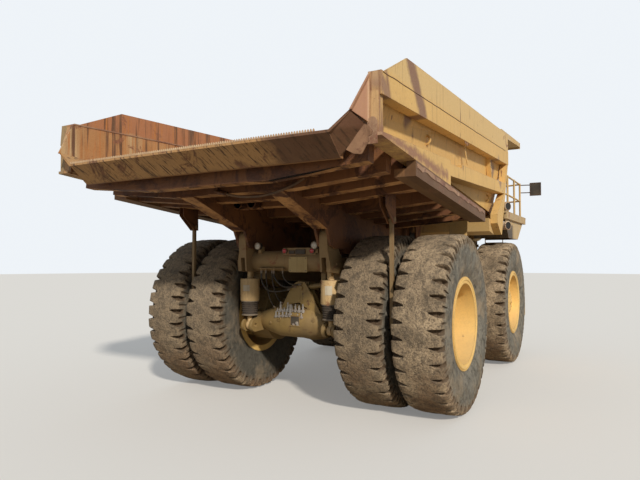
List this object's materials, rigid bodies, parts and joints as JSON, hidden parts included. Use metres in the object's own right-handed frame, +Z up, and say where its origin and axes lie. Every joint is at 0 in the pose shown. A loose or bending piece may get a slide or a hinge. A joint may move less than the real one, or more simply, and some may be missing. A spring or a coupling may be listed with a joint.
{
  "type": "mining dump truck",
  "caption": "Rigid off-highway dump truck: welded frame, tipping rock bed with canopy over the cab, dual rear wheels, steered front wheels and twin telescopic hoists.",
  "frame": {"origin": "on the ground, under the middle of the truck's length and width", "axes": "+X forward, +Y to the truck's left, +Z up"},
  "size_m": [9.768, 5.6, 5.06],
  "materials": {
    "yellow_paint": "faded yellow paint, dusty, with rust at edges",
    "dusty_frame_paint": "paint under dry mud and dust",
    "black_metal": "black paint, dusty",
    "bare_steel": "dull, weathered",
    "window_glass": "clear, dusty",
    "cab_trim": "matte",
    "hose_rubber": "dusty rubber",
    "lamp_lens": "moulded lens",
    "worn_rusty_floor": "worn bare by rock and rusted",
    "tyre_rubber": "worn, dry mud on the tread"
  },
  "bodies": {
    "chassis": {"frame_rail_left": "dusty_frame_paint", "frame_rail_right": "dusty_frame_paint", "crossmembers": "dusty_frame_paint", "front_bumper": "yellow_paint", "radiator_grille": "black_metal", "hood": "yellow_paint", "engine_block": "bare_steel", "drive_line": "bare_steel", "deck": "yellow_paint", "fenders": "yellow_paint", "cab_shell": "yellow_paint", "cab_glass": "window_glass", "operator_seat": "cab_trim", "operator_console": "cab_trim", "handrails": "yellow_paint", "front_ladders": "yellow_paint", "mirrors": "black_metal", "air_cleaners": "yellow_paint", "exhaust_pipes": "bare_steel", "fuel_tank": "yellow_paint", "hydraulic_tank": "yellow_paint", "rear_axle_housing": "yellow_paint", "rear_struts": "dusty_frame_paint", "axle_links": "yellow_paint", "front_struts": "dusty_frame_paint", "lamps": "lamp_lens", "brake_hose_left": "hose_rubber", "brake_hose_middle": "hose_rubber", "grease_hose_left": "hose_rubber", "grease_hose_middle": "hose_rubber", "grease_hose_right": "hose_rubber"},
    "cab_door": {"cab_door": "yellow_paint", "cab_door_glass": "window_glass"},
    "bed": {"bed_floor": "worn_rusty_floor", "bed_side_left": "yellow_paint", "bed_side_right": "yellow_paint", "bed_front_wall": "yellow_paint", "bed_canopy": "yellow_paint", "bed_sills": "dusty_frame_paint", "bed_bolsters": "dusty_frame_paint", "tyre_guards": "yellow_paint", "safety_cable": "bare_steel"},
    "rock_ejectors": {"rock_ejectors": "dusty_frame_paint"},
    "hoist_barrels": {"hoist_barrels": "yellow_paint"},
    "hoist_stages": {"hoist_stages": "bare_steel"},
    "hoist_rods": {"hoist_rods": "bare_steel"},
    "knuckle_left": {"knuckle_left": "dusty_frame_paint"},
    "knuckle_right": {"knuckle_right": "dusty_frame_paint"},
    "tie_rod": {"tie_rod": "dusty_frame_paint"},
    "front_wheel_left": {"front_tyre_left": "tyre_rubber", "front_rim_left": "yellow_paint"},
    "front_wheel_right": {"front_tyre_right": "tyre_rubber", "front_rim_right": "yellow_paint"},
    "rear_wheels_left": {"rear_tyres_left": "tyre_rubber", "rear_rims_left": "yellow_paint"},
    "rear_wheels_right": {"rear_tyres_right": "tyre_rubber", "rear_rims_right": "yellow_paint"}
  },
  "joints": [
    {"name": "bed_tip", "type": "hinge", "parent": "chassis", "child": "bed", "pos_m": [-2.53, 0, 2.6], "axis": [0, -1, 0], "range_deg": [0, 45]},
    {"name": "ejector_swing", "type": "hinge", "parent": "bed", "child": "rock_ejectors", "pos_m": [-2.63, 0, 2.83], "axis": [0, -1, 0], "range_deg": [-45, 0]},
    {"name": "hoist_swing", "type": "hinge", "parent": "chassis", "child": "hoist_barrels", "pos_m": [0.25, 0, 1.25], "axis": [0, -1, 0], "range_deg": [0, 15.93]},
    {"name": "hoist_stage_out", "type": "slide", "parent": "hoist_barrels", "child": "hoist_stages", "axis": [0.0345, 0, 0.9994], "range_m": [0, 1.038]},
    {"name": "hoist_rod_out", "type": "slide", "parent": "hoist_stages", "child": "hoist_rods", "axis": [0.0345, 0, 0.9994], "range_m": [0, 1.038]},
    {"name": "steer_left", "type": "hinge", "parent": "chassis", "child": "knuckle_left", "pos_m": [3.02, 1.45, 1.33], "axis": [0, 0, 1], "range_deg": [-32, 32]},
    {"name": "steer_right", "type": "hinge", "parent": "chassis", "child": "knuckle_right", "pos_m": [3.02, -1.45, 1.33], "axis": [0, 0, 1], "range_deg": [-32, 32]},
    {"name": "tie_rod_shift", "type": "slide", "parent": "chassis", "child": "tie_rod", "axis": [0, -1, 0], "range_m": [-0.223, 0.223]},
    {"name": "front_wheel_left_spin", "type": "hinge", "parent": "knuckle_left", "child": "front_wheel_left", "pos_m": [3.02, 2.1, 1.33], "axis": [0, 1, 0], "continuous": true},
    {"name": "front_wheel_right_spin", "type": "hinge", "parent": "knuckle_right", "child": "front_wheel_right", "pos_m": [3.02, -2.1, 1.33], "axis": [0, 1, 0], "continuous": true},
    {"name": "rear_wheels_left_spin", "type": "hinge", "parent": "chassis", "child": "rear_wheels_left", "pos_m": [-1.63, 1.82, 1.33], "axis": [0, 1, 0], "continuous": true},
    {"name": "rear_wheels_right_spin", "type": "hinge", "parent": "chassis", "child": "rear_wheels_right", "pos_m": [-1.63, -1.82, 1.33], "axis": [0, 1, 0], "continuous": true},
    {"name": "cab_door_swing", "type": "hinge", "parent": "chassis", "child": "cab_door", "pos_m": [2.85, 1.628, 4], "axis": [0, 0, 1], "range_deg": [0, 75]}
  ],
  "couplings": [
    {"joint": "ejector_swing", "follows": "bed_tip", "ratio": -1},
    {"joint": "hoist_swing", "follows": "bed_tip", "ratio": 0.35375},
    {"joint": "hoist_stage_out", "follows": "bed_tip", "m_per_rad": 1.3209},
    {"joint": "hoist_rod_out", "follows": "bed_tip", "m_per_rad": 1.3209},
    {"joint": "steer_right", "follows": "steer_left", "ratio": 1},
    {"joint": "tie_rod_shift", "follows": "steer_left", "m_per_rad": 0.3985}
  ]
}
